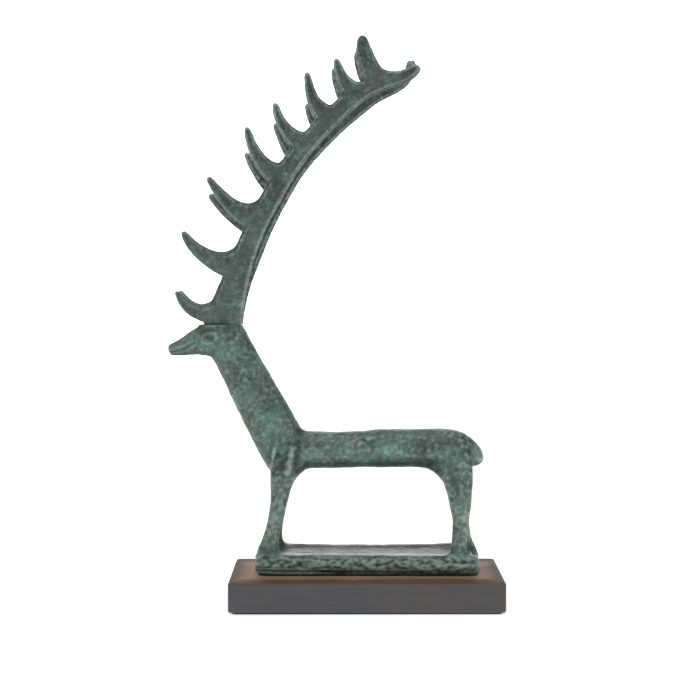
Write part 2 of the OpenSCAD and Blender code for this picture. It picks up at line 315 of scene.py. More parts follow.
def keep_wear_and_painted_shade(piece):
    """Writes what rubs bright and what stays dark, for the patina to read. The dark is the patina of the hollows, with
    painted shade added on faces that look down.
    """
    near = hollowness(piece, 6)
    wide = hollowness(piece, 30)
    # Faces that look down are darkened with painted shade, carried in the same mask as the hollows' dark patina.
    under = ramp(-normals(piece)[:, 2], 0.15, 0.95)
    dark = ramp(near, 0.01, 0.12) * 0.65 + ramp(wide, 0.1, 1.1) * 0.5 + under * 0.6
    bright = ramp(-near, 0.025, 0.14) * (1 - under)
    points = coordinates(piece)
    sheltered = ramp(RAIL_Y + 3 - np.abs(points[:, 1]), 0.0, 3.0) * ramp(GROUND + 18 - points[:, 2], 0.0, 3.0)
    dust = ramp(normals(piece)[:, 2], 0.55, 0.9) * sheltered
    handled = ramp(SEAT_X + 6 - points[:, 0], 0.0, 8.0)
    bright = bright * (1 - 0.45 * handled)
    grimy = ramp(SEAT_X - 17 - points[:, 0], 0.0, 12.0)
    at_seam = ramp(1.1 - np.abs(points[:, 2] - SEAT_Z), 0.0, 0.8)
    dark = (dark + 0.35 * grimy) * (1 - 0.8 * dust) * (1 - 0.75 * at_seam)
    for name, values in (("recess_and_underside_shade", dark), ("rubbed", bright), ("dust", dust)):
        values = neighbours_mean(piece, values, 1)
        layer = piece.data.attributes.new(name, "FLOAT", "POINT")
        layer.data.foreach_set("value", np.clip(values, 0, 1))


# ---------------------------------------------------------------- the stag and its ground plate

# Along X from the middle, height above the trunk's middle, half depth, half width
TRUNK = [
    (-52, -3, 5, 4.5), (-48, -1.5, 9.4, 9), (-40, 0.4, 11, 10.2), (-20, -0.1, 10.2, 9.8), (-8, 0, 10.2, 10),
    (2, 0.8, 10.8, 10.2), (24, 1.2, 10.7, 10), (40, 0.5, 11.8, 10.4), (50, -0.2, 11.9, 9.8),
    (56.4, -1.6, 9.2, 7.2), (61.2, -4.2, 6, 4.8), (64.4, -7, 2.9, 3),
]
# Along X from the middle, height above the plate's underside, half depth, half width
NECK = [
    (-39.8, 58, 12.4, 8.4), (-43.4, 64.3, 13.6, 9.6), (-48.9, 75, 13.9, 10.4), (-56.4, 89.2, 13.5, 10.5),
    (-63.5, 102.6, 12.9, 10.3), (-72.1, 119, 12.2, 9.9), (-77.2, 128.6, 12, 9.6), (-84.6, 143, 11.7, 9.4),
]
# Along X from the seat's middle, height above it, half depth, half width
HEAD = [
    (8, -9.6, 6, 7.5), (0, -9.1, 8.5, 9.3), (-6, -8.6, 9.2, 9.1), (-11, -9.1, 8.8, 8.2), (-15.2, -10.1, 7.6, 7.1),
    (-20, -11.8, 5.9, 5.8), (-25.4, -13.5, 4.4, 4.7), (-29.2, -14.4, 3.7, 4), (-30.6, -14.9, 2.6, 3),
]
# Along X from the joint, height above the plate's underside, half depth, half width
FORELEG = [
    (1.5, 70, 7.6, 3.2), (0.5, 56, 7.6, 5), (-0.9, 48, 6.1, 4.8), (-2.1, 40, 5, 4.3), (-3.5, 32, 4.4, 4),
    (-5.2, 25, 4.2, 3.9), (-6.9, 18, 4.9, 4), (-7.9, 12, 6.8, 4.4), (-8, 5, 7.2, 4.2), (-8, 2, 6, 3.4),
]
HINDLEG = [
    (-1, 70, 8.6, 3.2), (-0.9, 59, 9.4, 5.2), (0.1, 50, 8.4, 5.1), (1.3, 41, 6.5, 4.8), (1.4, 34, 5.3, 4.4),
    (1, 28, 4.7, 4.1), (0.3, 21, 4.2, 3.8), (-0.2, 15, 4.4, 4), (0, 9, 6, 4.4), (0, 3, 6.4, 4.2),
]
# Along X from the joint, height above the plate's underside, half depth, half width
ARMPIT = [(15.5, 62, 2.4, 6), (10.5, 59.2, 3, 7), (6.2, 55.6, 3.2, 7), (3.4, 50.5, 2.8, 6.5), (1.5, 44, 2, 4)]
GROIN = [(-21, 62, 2.4, 6), (-14.5, 59.6, 3, 7), (-9.4, 57, 3.4, 7), (-5.2, 51.5, 3.4, 6.5), (-2.4, 44, 2.6, 4.5)]
LEG_TOP_Y = 6.0
RIGHT_HIND_STEP = 8.0
RIGHT_FORE_STEP = 2.4
FAR_RAIL_LIFT = 1.7


def leg(name, rows, joint_x, side, step=0.0):
    placed = []
    for x, height, depth, width in rows:
        down = max(0.0, 1 - height / BODY_H)
        shift = step * min(1.0, max(0.0, down - 0.5) * 2.2)
        y = side * (LEG_TOP_Y + (RAIL_Y - LEG_TOP_Y) * down)
        placed.append((joint_x + x + shift, y, GROUND + height, depth, width))
    return limb(name, placed)


def rail(side):
    """One of the two round bars along the ground plate, a little uneven from end to end."""
    rows = []
    count = 14
    for i in range(count + 1):
        t = i / count
        end = 0.95 if i in (0, count) else 1.0
        lift = 0.25 * math.sin(7.1 * t + side)
        if side == RIGHT:
            lift += FAR_RAIL_LIFT
        length = PLATE_L + 0.6
        rows.append((
            -length / 2 + length * t, side * (RAIL_Y + 0.25 * math.sin(9 * t)), GROUND + RAIL_H / 2 - 0.2 + lift,
            (RAIL_H / 2 + 0.6) * end, 6.2 * end))
    return limb("rail", rows)


def web():
    """The sheet of bronze between the rails, nearly level with them and dished along its middle."""
    select_none()
    bpy.ops.mesh.primitive_grid_add(x_subdivisions=24, y_subdivisions=8, size=1, location=(0, 0, (GROUND + 10.4) * MM))
    sheet = bpy.context.object
    sheet.scale = ((PLATE_L - 5) * MM, 2 * RAIL_Y * MM, 1)
    settle(sheet)
    points = coordinates(sheet)
    across = points[:, 1] / RAIL_Y
    points[:, 2] += (FAR_RAIL_LIFT / 2 + 0.8) * across + 0.4 - 0.6 * (1 - across ** 2)
    put_back(sheet, points)
    apply_modifier(sheet, "SOLIDIFY", thickness=9 * MM, offset=-1)
    return sheet


def model_stag():
    parts = [
        limb("trunk", beside(TRUNK, z=GROUND + BODY_H), 20),
        limb("neck", beside(NECK, z=GROUND), 20),
        limb("head", beside(HEAD, x=SEAT_X, z=SEAT_Z), 18),
        limb("armpit", beside(ARMPIT, x=SHOULDER_X, z=GROUND)),
        limb("groin", beside(GROIN, x=HIP_X, z=GROUND)),
        web(),
    ]
    for side in (LEFT, RIGHT):
        fore_step = RIGHT_FORE_STEP if side == RIGHT else 0.0
        hind_step = RIGHT_HIND_STEP if side == RIGHT else 0.0
        parts.append(rail(side))
        parts.append(leg("foreleg", FORELEG, SHOULDER_X, side, fore_step))
        parts.append(leg("hindleg", HINDLEG, HIP_X, side, hind_step))
    stag = join(parts, "stag")
    apply_modifier(stag, "REMESH", mode="VOXEL", voxel_size=0.64 * MM, use_smooth_shade=True)
    melt_creases(stag, 26, 0.28, 130)
    melt_creases(stag, 4, 0.4, 60)
    return stag


def carve_stag(stag):
    """The chased features: eyes, mouth, shoulders, haunches, flank ring and the rails' grooves."""
    for side in (LEFT, RIGHT):
        carve_head(stag, side)
        front_ridge = [(-50.8, GROUND + 69.5), (-51.6, GROUND + 65), (-52.6, GROUND + 60)]
        stroke(stag, front_ridge, 1.2, -0.45, side)
        back_ridge = [(-40.6, GROUND + 70), (-42, GROUND + 65), (-43.6, GROUND + 57)]
        stroke(stag, back_ridge, 1.7, -0.7, side)
        stroke(stag, [(-37.4, GROUND + 69), (-38.4, GROUND + 63), (-40.6, GROUND + 55)], 1.6, 0.4, side)
        stroke(stag, ring_line(-2.5, GROUND + 71, 3.8, 3.6, 20, 200), 0.7, 0.3, side)
        stroke(stag, [(-6.5, GROUND + 75), (-12, GROUND + 73.5)], 0.8, 0.25, side)
        haunch = [(43, GROUND + 60), (47, GROUND + 68), (53, GROUND + 71), (57.5, GROUND + 66)]
        stroke(stag, haunch, 3.4, -0.35, side)
        stroke(stag, [(57, GROUND + 68), (58, GROUND + 61), (58, GROUND + 57)], 1.4, 0.3, side)
        stroke(stag, [(47, GROUND + 56), (50, GROUND + 46), (51.6, GROUND + 34)], 2.0, 0.2, side)
        for toe, heel in ((-61, -47), (46, 56)):
            stroke(stag, [(toe, GROUND + 10.6), (heel, GROUND + 10.6)], 2.6, -0.8, side)
        low_groove = [(-61, GROUND + 2.9), (-40, GROUND + 2.6), (-20, GROUND + 2.4)]
        stroke(stag, low_groove, 0.7, 1.0, side)
        stroke(stag, [(-24, GROUND + 2.0), (4, GROUND + 2.5), (30, GROUND + 2.1)], 0.8, 0.5, side)
        stroke(stag, [(-61, GROUND + 5.0), (-48, GROUND + 4.8), (-38, GROUND + 4.4)], 0.55, 0.7, side)


def carve_head(stag, side):
    """A small eye in a low socket and a thin mouth."""
    eye_x, eye_z = SEAT_X - 7, SEAT_Z - 7.2
    stroke(stag, ring_line(eye_x, eye_z, 4.2, 2.9, -30, 250, tilt=15), 0.9, -0.55, side)
    stroke(stag, [(eye_x, eye_z), (eye_x + 0.8, eye_z - 0.2)], 1.2, 0.5, side)
    mouth = [
        (SEAT_X - 30, SEAT_Z - 15.6), (SEAT_X - 25, SEAT_Z - 14.6), (SEAT_X - 20, SEAT_Z - 12.6),
        (SEAT_X - 15.4, SEAT_Z - 9.6)]
    stroke(stag, mouth, 0.7, 0.5, side)


def knobbly_rails(stag):
    """The rails' fronts were never filed, and keep the lumps of the wax."""
    points = coordinates(stag)
    facing = normals(stag)
    on_rail = ramp(GROUND + 10.5 - points[:, 2], 0.0, 2.5) * ramp(np.abs(points[:, 1]), 13.0, 16.0)
    on_rail = on_rail * ramp(points[:, 2] - GROUND, 2.8, 4.6)
    lumps = np.zeros(len(points))
    for i in np.nonzero(on_rail > 0.01)[0]:
        x, y, z = points[i]
        wide = noise.noise(Vector((x / 6.5, y / 4.0, z / 3.6)))
        fine = noise.noise(Vector((x / 2.6 + 7, y / 1.9, z / 1.5)))
        lumps[i] = 1.1 * wide + 0.8 * fine
    put_back(stag, points + facing * (np.clip(lumps, -0.8, 0.55) * on_rail)[:, None])


def cut_flat(piece, height, keep_above):
    """Cuts a piece flat at a height and closes the cut."""
    pick(piece)
    bpy.ops.object.mode_set(mode="EDIT")
    bpy.ops.mesh.select_all(action="SELECT")
    bpy.ops.mesh.bisect(
        plane_co=(0, 0, height * MM), plane_no=(0, 0, 1), use_fill=True,
        clear_inner=keep_above, clear_outer=not keep_above)
    bpy.ops.object.mode_set(mode="OBJECT")


def ease_seam(piece, height, width=0.5, depth=0.05):
    """Draws the surface in where two castings meet, so that the seam shows."""
    points = coordinates(piece)
    facing = normals(piece)
    sides = facing * np.array([1, 1, 0])
    fall = np.exp(-((points[:, 2] - height) / width) ** 2) * (np.abs(facing[:, 2]) < 0.9)
    put_back(piece, points - sides * (fall * depth)[:, None])


def drill(piece, x, y, low, high, diameter):
    """A round hole along Z."""
    select_none()
    bpy.ops.mesh.primitive_cylinder_add(
        vertices=40, radius=diameter / 2 * MM, depth=(high - low) * MM,
        location=(x * MM, y * MM, (low + high) / 2 * MM))
    bit = settle(bpy.context.object, "bit")
    apply_modifier(piece, "BOOLEAN", object=bit, operation="DIFFERENCE", solver="EXACT")
    bpy.data.objects.remove(bit, do_unlink=True)


# ---------------------------------------------------------------- the antlers

ANTLER_T = 6.4
FOOT_Y = 3.7
SPREAD = 44.0
WIDEST_AT = 112.0

# Back from the seat, height above it, half depth, half width
LEFT_BEAM = [
    (-1, -4, 11, 3.2), (0, 0, 10.6, 3.2), (5, 19, 7.7, 3.3), (10.5, 35, 6.1, 3.2), (17, 51, 5.5, 3.2),
    (27.5, 70.5, 5.4, 3.2), (39, 90, 5.3, 3.1), (52.5, 105, 5, 3), (67, 119, 5, 2.9), (79, 128.8, 5.1, 2.9),
    (93, 132.4, 3.8, 2.8), (100.5, 134.6, 3.6, 2.6), (105.4, 138, 3.3, 2.4), (107.2, 139.8, 1.9, 1.7),
]
RIGHT_BEAM = [
    (-1, -4, 11, 3.2), (0, 0, 10.6, 3.2), (5, 18.5, 7.7, 3.3), (12, 34.5, 6.7, 3.2), (20, 54, 6.1, 3.2),
    (28, 69, 5.9, 3.2), (37, 84.5, 5.4, 3.1), (47.5, 97, 5, 3), (60.5, 110, 4.8, 2.9), (74.5, 122, 4.8, 2.9),
    (85.5, 130, 4.5, 2.8), (96, 133.5, 3.9, 2.7), (101.5, 137, 3.3, 2.6), (104.5, 142.5, 3.1, 2.5),
    (104.6, 146.4, 2.9, 2.3), (104.6, 148.2, 1.7, 1.6),
]
BROW_TINE = [(4, 7.4, 7), (-7, 5.5, 5.4), (-14.5, 7, 4.1), (-21.2, 11.5, 3), (-25.2, 18.6, 1.6)]
LEFT_TINES = [
    BROW_TINE,
    [(11, 30, 9), (1.5, 32.5, 5.9), (-7.5, 37, 4.4), (-15.5, 43, 3.5), (-20.6, 51, 2.1)],
    [(21, 56, 8), (12, 60, 5.2), (5, 65.8, 3.9), (-0.8, 72.4, 3.1), (-6.4, 80.2, 2)],
    [(34, 77, 7.5), (26, 84, 4.8), (20.5, 91, 3.6), (16.8, 98.6, 2.8), (14.8, 107, 1.9)],
    [(48, 94.5, 7), (40, 100.5, 4.5), (35, 106.5, 3.4), (31.6, 112.8, 2.6), (30, 119.8, 1.9)],
    [(60, 108.5, 7), (53, 116.5, 4.5), (50, 122.5, 3.4), (48.4, 129, 2.6), (47.2, 136.2, 1.9)],
    [(74, 122, 6.6), (69.2, 128, 4.6), (66.4, 132.6, 3.6), (64.3, 137.6, 2.8), (62.8, 143.6, 2.1)],
    [(84, 129, 7.4), (81.6, 136.5, 5.8), (79.2, 143, 5), (77.6, 149, 4.3), (76.8, 156.2, 3.1)],
]
RIGHT_TINES = [
    BROW_TINE,
    [(11, 28.5, 9), (2, 31, 5.9), (-7.5, 35, 4.4), (-15.5, 40.5, 3.5), (-20.4, 47.6, 2.1)],
    [(21, 51.5, 7.6), (12.5, 55.4, 5.2), (5, 60, 4), (-2, 65.8, 3.2), (-8.8, 72.8, 2)],
    [(34, 70.5, 7), (26.5, 76, 4.8), (21.5, 81, 3.7), (16.5, 87.6, 3), (11.5, 96.3, 1.9)],
    [(47, 87.5, 6.6), (40.3, 92.5, 4.6), (36, 97, 3.6), (32, 104, 2.7), (28, 113, 1.9)],
    [(61, 103, 6.4), (55.2, 107.5, 4.4), (51.4, 111.6, 3.5), (48.3, 117.4, 2.7), (46.2, 124, 1.9)],
    [(76, 117.5, 6.4), (69.3, 124.6, 4.5), (65.6, 130.5, 3.5), (62.8, 137, 2.8), (61.4, 144, 2)],
    [(88, 126.5, 6.8), (82.5, 133, 4.9), (79, 139, 4), (76, 146, 3.3), (74.4, 153.2, 2.3)],
]
TINE_FLATNESS = 0.9
TINE_SPLAY = 1.5
TIP_ROUND = ((-1.3, 1.1), (-0.55, 0.95), (-0.1, 0.66), (0.15, 0.3))     # way along and share of the tip's depth
GULLET_REACH = 2.4                          # reach of a gullet's sweep, in half depths of the tine's root
BEAM_FULLER = 1.06
TINE_FULLER = 1.08
PLANED_TO = 2.5                             # half thickness at which an antler's faces were filed flat


def lyre(height):
    """Distance of an antler from the middle plane at a height above the seat."""
    t = math.sin(math.pi / 2 * max(0.0, height) / WIDEST_AT)
    return FOOT_Y + (SPREAD / 2 - FOOT_Y) * t


def beam_rows(side, table):
    rows = []
    for x, h, depth, width in table:
        back = 0.45 * min(1.0, max(0.0, (h - 10) / 20))
        rows.append((SEAT_X + x + back, side * lyre(h), SEAT_Z + h, depth * BEAM_FULLER, width * 1.25))
    return rows


def swept_tine(table):
    """A tine's rows, with a rounded tip."""
    rows = [Vector(row) for row in table]
    rows[0].z = min(rows[0].z, rows[1].z * 1.15)
    swept = [(x, h, depth * TINE_FULLER) for x, h, depth in rows[:-1]]
    x, h, depth = rows[-1]
    end = (rows[-1].xy - rows[-2].xy).normalized() * depth
    for along, share in TIP_ROUND:
        swept.append((x + end.x * along, h + end.y * along, depth * share * TINE_FULLER))
    return swept


def gullet_rows(side, beam, table):
    """A tine leaves the beam in one round sweep, so a limb follows that sweep around the corner."""
    root, second = Vector(table[0]), Vector(table[2])
    reach = GULLET_REACH * root.z
    columns = np.array([row[:3] for row in beam]).T
    x, h, beam_depth = (np.interp(root.x + root.y + 1.3 * reach, columns[0] + columns[1], c) for c in columns)
    on_beam = Vector((x, h))
    on_tine = root.xy + (second.xy - root.xy).normalized() * reach
    rows = []
    for i in range(9):
        t = i / 8
        middle = on_beam * (1 - t) ** 2 + root.xy * 2 * t * (1 - t) + on_tine * t ** 2
        depth = beam_depth * 0.94 * (1 - t) + second.z * 1.06 * t
        rows.append((SEAT_X + middle.x, side * lyre(middle.y), SEAT_Z + middle.y, depth, ANTLER_T / 2))
    return rows


def tine_rows(side, table):
    rows = []
    swept = swept_tine(table)
    for i, (x, h, depth) in enumerate(swept):
        y = side * (lyre(h) + TINE_SPLAY * i / (len(swept) - 1))
        rows.append((SEAT_X + x, y, SEAT_Z + h, depth, min(depth * TINE_FLATNESS, ANTLER_T * 0.5)))
    return rows


def plane_faces(antler, side):
    """Files the two broad faces nearly flat, which leaves crisp rims along the beam."""
    points = coordinates(antler)
    heights = np.clip(points[:, 2] - SEAT_Z, 0, None)
    middle = FOOT_Y + (SPREAD / 2 - FOOT_Y) * np.sin(np.pi / 2 * heights / WIDEST_AT)
    off = points[:, 1] * side - middle
    over = np.clip(np.abs(off) - PLANED_TO, 0, None)
    points[:, 1] -= side * np.sign(off) * over * 0.72
    put_back(antler, points)


def model_antler(side, beam, tines, name):
    parts = [limb("beam", beam_rows(side, beam), 16)]
    for table in tines:
        parts.append(limb("tine", tine_rows(side, table), 12))
        parts.append(limb("gullet", gullet_rows(side, beam, table), 12))
    antler = join(parts, name)
    apply_modifier(antler, "REMESH", mode="VOXEL", voxel_size=0.46 * MM, use_smooth_shade=True)
    melt_creases(antler, 12, 0.35, 60)
    melt_creases(antler, 4, 0.3, 40)
    plane_faces(antler, side)
    carve_antler(antler, side, beam, tines)
    cast_skin(antler, 0.45, 0.3)
    cut_flat(antler, SEAT_Z, keep_above=True)
    ease_seam(antler, SEAT_Z)
    smooth_shade(antler)
    keep_wear_and_painted_shade(antler)
    drill(antler, SEAT_X, side * FOOT_Y, SEAT_Z - 2, SEAT_Z + 8.3, 3.1)
    return antler


def carve_antler(antler, side, beam, tines):
    """Channels run down the tines and along the beam between worn rims."""
    for face in (LEFT, RIGHT):
        for table in tines:
            rows = tine_rows(side, table)[2:-3]
            stroke(antler, [(x, z) for x, _, z, _, _ in rows], 1.0, 0.22, face, one_half=False)
        rows = beam_rows(side, beam)[2:-1]
        back = [(x + d * 0.5, z - d * 0.3) for x, _, z, d, _ in rows]
        stroke(antler, back, 1.0, 0.12, face, one_half=False)
        middle = [(x - d * 0.15, z + d * 0.1) for x, _, z, d, _ in rows]
        stroke(antler, middle, 1.5, 0.15, face, one_half=False)


# ---------------------------------------------------------------- plinth, fixings and felt


def block(name, low, high, corner, edge, corner_steps=6, edge_steps=3):
    """A board with rounded upright corners and eased long edges."""
    select_none()
    middle = (low + high) / 2 * MM
    bpy.ops.mesh.primitive_cube_add(size=1, location=middle)
    board = bpy.context.object
    board.scale = (high - low) * MM
    settle(board, name)
    mesh = board.data
    for width, steps, upright in ((corner, corner_steps, True), (edge, edge_steps, False)):
        bpy.ops.object.mode_set(mode="EDIT")
        bpy.ops.mesh.select_mode(type="EDGE")
        bpy.ops.mesh.select_all(action="DESELECT")
        bpy.ops.object.mode_set(mode="OBJECT")
        for e in mesh.edges:
            a, b = (mesh.vertices[v].co for v in e.vertices)
            rises = abs(a.z - b.z) > 0.3 * (high.z - low.z) * MM
            level = abs(a.z - b.z) < 1e-6
            e.select = rises if upright else level
        bpy.ops.object.mode_set(mode="EDIT")
        bpy.ops.mesh.bevel(offset=width * MM, segments=steps, profile=0.5)
        bpy.ops.object.mode_set(mode="OBJECT")
    return board


def make_plinth():
    board = block("plinth_wood", plinth_low, plinth_high, 2.5, 1.0)
    for name in ("front_stud", "rear_stud"):
        low, high = node_box(name)
        washer_low, washer_high = node_box(name.replace("stud", "washer"))
        x = (low.x + high.x) / 2
        drill(board, x, 0, plinth_low.z - 1, plinth_high.z + 1, 4.5)
        drill(board, x, 0, plinth_low.z - 1, washer_high.z, 12)
    smooth_shade(board, 30)
    return board


def make_stud(node):
    """Threaded rod: the crest climbs one pitch with each turn."""
    low, high = node_box(node)
    x, radius = (low.x + high.x) / 2, (high.x - low.x) / 2
    pitch, thread, around = 0.7, 0.43, 32
    length = high.z - low.z
    rings = int(length / pitch * 6)
    select_none()
    bpy.ops.mesh.primitive_circle_add(
        vertices=around, radius=radius * MM, fill_type="NGON", location=(x * MM, 0, low.z * MM))
    stud = bpy.context.object
    settle(stud, node + "_threaded")
    bpy.ops.object.mode_set(mode="EDIT")
    bpy.ops.mesh.select_all(action="SELECT")
    for _ in range(rings):
        bpy.ops.mesh.extrude_region_move(TRANSFORM_OT_translate={"value": (0, 0, length / rings * MM)})
    bpy.ops.object.mode_set(mode="OBJECT")
    faces_out(stud)
    points = coordinates(stud)
    angle = np.arctan2(points[:, 1], points[:, 0] - x) / (2 * math.pi)
    phase = ((points[:, 2] - low.z) / pitch - angle) % 1.0
    depth = thread * (1 - np.abs(2 * phase - 1)) * 0.95
    end = np.minimum(points[:, 2] - low.z, high.z - points[:, 2])
    depth = np.maximum(depth, ramp(-end, -0.5, 0.0) * 0.45)
    scale = (radius - depth) / radius
    points[:, 0] = x + (points[:, 0] - x) * scale
    points[:, 1] = points[:, 1] * scale
    put_back(stud, points)
    smooth_shade(stud, 40)
    return stud


def make_nut(node):
    """Hexagon nut with its edges eased, and bored for the stud."""
    low, high = node_box(node)
    x = (low.x + high.x) / 2
    corners = max(high.x - low.x, high.y - low.y)
    select_none()
    bpy.ops.mesh.primitive_cylinder_add(
        vertices=6, radius=corners / 2 * MM, depth=(high.z - low.z) * MM,
        location=(x * MM, 0, (low.z + high.z) / 2 * MM), rotation=(0, 0, math.radians(30)))
    nut = settle(bpy.context.object, node + "_hexagon")
    apply_modifier(nut, "BEVEL", width=0.35 * MM, segments=2, limit_method="ANGLE")
    drill(nut, x, 0, low.z - 1, high.z + 1, 4.04)
    smooth_shade(nut, 30)
    return nut


def make_washer(node):
    """Stamped washer, its edges rounded by tumbling."""
    low, high = node_box(node)
    x, radius = (low.x + high.x) / 2, (high.x - low.x) / 2
    thick = high.z - low.z
    select_none()
    bpy.ops.mesh.primitive_circle_add(
        vertices=64, radius=radius * MM, fill_type="NGON", location=(x * MM, 0, low.z * MM))
    washer = settle(bpy.context.object, node + "_stamped")
    bpy.ops.object.mode_set(mode="EDIT")
    bpy.ops.mesh.select_all(action="SELECT")
    bpy.ops.mesh.extrude_region_move(TRANSFORM_OT_translate={"value": (0, 0, thick * MM)})
    bpy.ops.object.mode_set(mode="OBJECT")
    faces_out(washer)
    drill(washer, x, 0, low.z - 1, high.z + 1, 4.5)
    apply_modifier(washer, "BEVEL", width=0.12 * MM, segments=2, limit_method="ANGLE")
    smooth_shade(washer, 40)
    return washer


def make_pin(node):
    """Dowel pin with both ends chamfered."""
    low, high = node_box(node)
    middle = (low + high) / 2
    select_none()
    bpy.ops.mesh.primitive_cylinder_add(
        vertices=48, radius=(high.x - low.x) / 2 * MM, depth=(high.z - low.z) * MM, location=middle * MM)
    pin = settle(bpy.context.object, node + "_dowel")
    apply_modifier(pin, "BEVEL", width=0.4 * MM, segments=2, limit_method="ANGLE")
    smooth_shade(pin, 40)
    return pin


def make_felt():
    """Pressed felt, die cut, its edge a little soft."""
    return block("felt_sheet", felt_low, felt_high, 2.5, 0.25, 6, 2)


# ---------------------------------------------------------------- finishes


def linear(code):
    """An sRGB hex colour as the linear values that a shader takes."""
    parts = [int(code[i:i + 2], 16) / 255 for i in (1, 3, 5)]
    return tuple(c / 12.92 if c <= 0.04045 else ((c + 0.055) / 1.055) ** 2.4 for c in parts) + (1.0,)


def per_size(size):
    """A texture's scale for features of this size in millimetres."""
    return 1 / (size * MM)


def add(tree, kind, inputs=None, stops=None, **settings):
    """Adds a node, with its settings, its ramp's stops, and what each input takes: a value or a link."""
    new = tree.nodes.new(kind)
    for key, value in settings.items():
        setattr(new, key, value)
    if stops:
        elements = new.color_ramp.elements
        while len(elements) < len(stops):
            elements.new(0.5)
        for element, (place, shade) in zip(elements, stops):
            element.position = place
            element.color = linear(shade) if isinstance(shade, str) else (shade, shade, shade, 1)
    for key, value in (inputs or {}).items():
        if isinstance(value, bpy.types.NodeSocket):
            tree.links.new(value, new.inputs[key])
        else:
            new.inputs[key].default_value = value
    return new


FACTOR, FIRST, SECOND, MIXED = 0, 6, 7, 2     # a colour mix's sockets


def new_finish(name):
    material = bpy.data.materials.new(name)
    material.use_nodes = True
    tree = material.node_tree
    shader = tree.nodes["Principled BSDF"]
    place = add(tree, "ShaderNodeTexCoord").outputs["Object"]
    return material, tree, shader, place


def patinated_bronze(name, tone, green):
    """Cast bronze with a wet-brushed copper patina under wax: mottled green over slate, dark in the recesses,
    painted shade on faces that look down, and rubbed pale where hands and cloths catch the edges."""
    material, tree, shader, place = new_finish(name)
    noise = "ShaderNodeTexNoise"
    clouds = add(tree, noise, {"Vector": place, "Scale": per_size(15), "Detail": 8, "Roughness": 0.68})
    base = add(tree, "ShaderNodeValToRGB", {0: clouds.outputs["Fac"]}, stops=tone).outputs["Color"]
    moved = add(tree, "ShaderNodeMapping", {"Vector": place, "Location": (0.31, 0.17, 0.05)}).outputs[0]
    bloom = add(
        tree, noise, {"Vector": moved, "Scale": per_size(6.5), "Detail": 8, "Roughness": 0.68, "Distortion": 0.4})
    bloom_mask = add(
        tree, "ShaderNodeValToRGB", {0: bloom.outputs["Fac"]}, stops=[(0.5, 0.0), (0.68, green)])
    base = add(
        tree, "ShaderNodeMix", {FACTOR: bloom_mask.outputs["Color"], FIRST: base, SECOND: linear("#679080")},
        data_type="RGBA").outputs[MIXED]
    far = add(tree, "ShaderNodeMapping", {"Vector": place, "Location": (0.9, 0.4, 0.7)}).outputs[0]
    earth = add(tree, noise, {"Vector": far, "Scale": per_size(20), "Detail": 5, "Roughness": 0.6})
    earth_mask = add(
        tree, "ShaderNodeValToRGB", {0: earth.outputs["Fac"]}, stops=[(0.55, 0.0), (0.72, 0.7)])
    base = add(
        tree, "ShaderNodeMix", {FACTOR: earth_mask.outputs["Color"], FIRST: base, SECOND: linear("#5F5D55")},
        data_type="RGBA").outputs[MIXED]
    spots = add(tree, noise, {"Vector": far, "Scale": per_size(7), "Detail": 3, "Roughness": 0.5})
    spot_mask = add(
        tree, "ShaderNodeValToRGB", {0: spots.outputs["Fac"]}, stops=[(0.68, 0.0), (0.76, 0.65)])
    base = add(
        tree, "ShaderNodeMix", {FACTOR: spot_mask.outputs["Color"], FIRST: base, SECOND: linear("#6B5A3E")},
        data_type="RGBA").outputs[MIXED]
    grit = add(tree, noise, {"Vector": place, "Scale": per_size(0.95), "Detail": 3, "Roughness": 0.7})
    grit_shade = add(
        tree, "ShaderNodeValToRGB", {0: grit.outputs["Fac"]}, stops=[(0.32, 0.28), (0.5, 0.5), (0.68, 0.76)])
    base = add(
        tree, "ShaderNodeMix", {FACTOR: 0.75, FIRST: base, SECOND: grit_shade.outputs["Color"]},
        data_type="RGBA", blend_type="OVERLAY").outputs[MIXED]
    # This mask darkens the patina in the hollows and also paints shade on faces that look down.
    recess_and_underside_shade = add(tree, "ShaderNodeAttribute", attribute_name="recess_and_underside_shade").outputs["Fac"]
    base = add(
        tree, "ShaderNodeMix", {FACTOR: recess_and_underside_shade, FIRST: base, SECOND: linear("#17201E")},
        data_type="RGBA").outputs[MIXED]
    rubbed = add(tree, "ShaderNodeAttribute", attribute_name="rubbed").outputs["Fac"]
    broken = add(tree, "ShaderNodeMath", {0: rubbed, 1: bloom.outputs["Fac"]}, operation="MULTIPLY")
    base = add(
        tree, "ShaderNodeMix", {FACTOR: broken.outputs[0], FIRST: base, SECOND: linear("#B4C8BE")},
        data_type="RGBA").outputs[MIXED]
    dust = add(tree, "ShaderNodeAttribute", attribute_name="dust").outputs["Fac"]
    settled = add(tree, "ShaderNodeMath", {0: dust, 1: 0.8}, operation="MULTIPLY").outputs[0]
    base = add(
        tree, "ShaderNodeMix", {FACTOR: settled, FIRST: base, SECOND: linear("#62635D")},
        data_type="RGBA").outputs[MIXED]
    tree.links.new(base, shader.inputs["Base Color"])
    shine = add(
        tree, "ShaderNodeMapRange",
        {"Value": clouds.outputs["Fac"], "From Min": 0.3, "From Max": 0.7, "To Min": 0.36, "To Max": 0.56})
    tree.links.new(shine.outputs[0], shader.inputs["Roughness"])
    shader.inputs["Metallic"].default_value = 0.35
    fine = add(tree, noise, {"Vector": place, "Scale": per_size(1.3), "Detail": 6, "Roughness": 0.7})
    bump = add(tree, "ShaderNodeBump", {"Height": fine.outputs["Fac"], "Strength": 0.55, "Distance": 0.35 * MM})
    tree.links.new(bump.outputs[0], shader.inputs["Normal"])
    return material


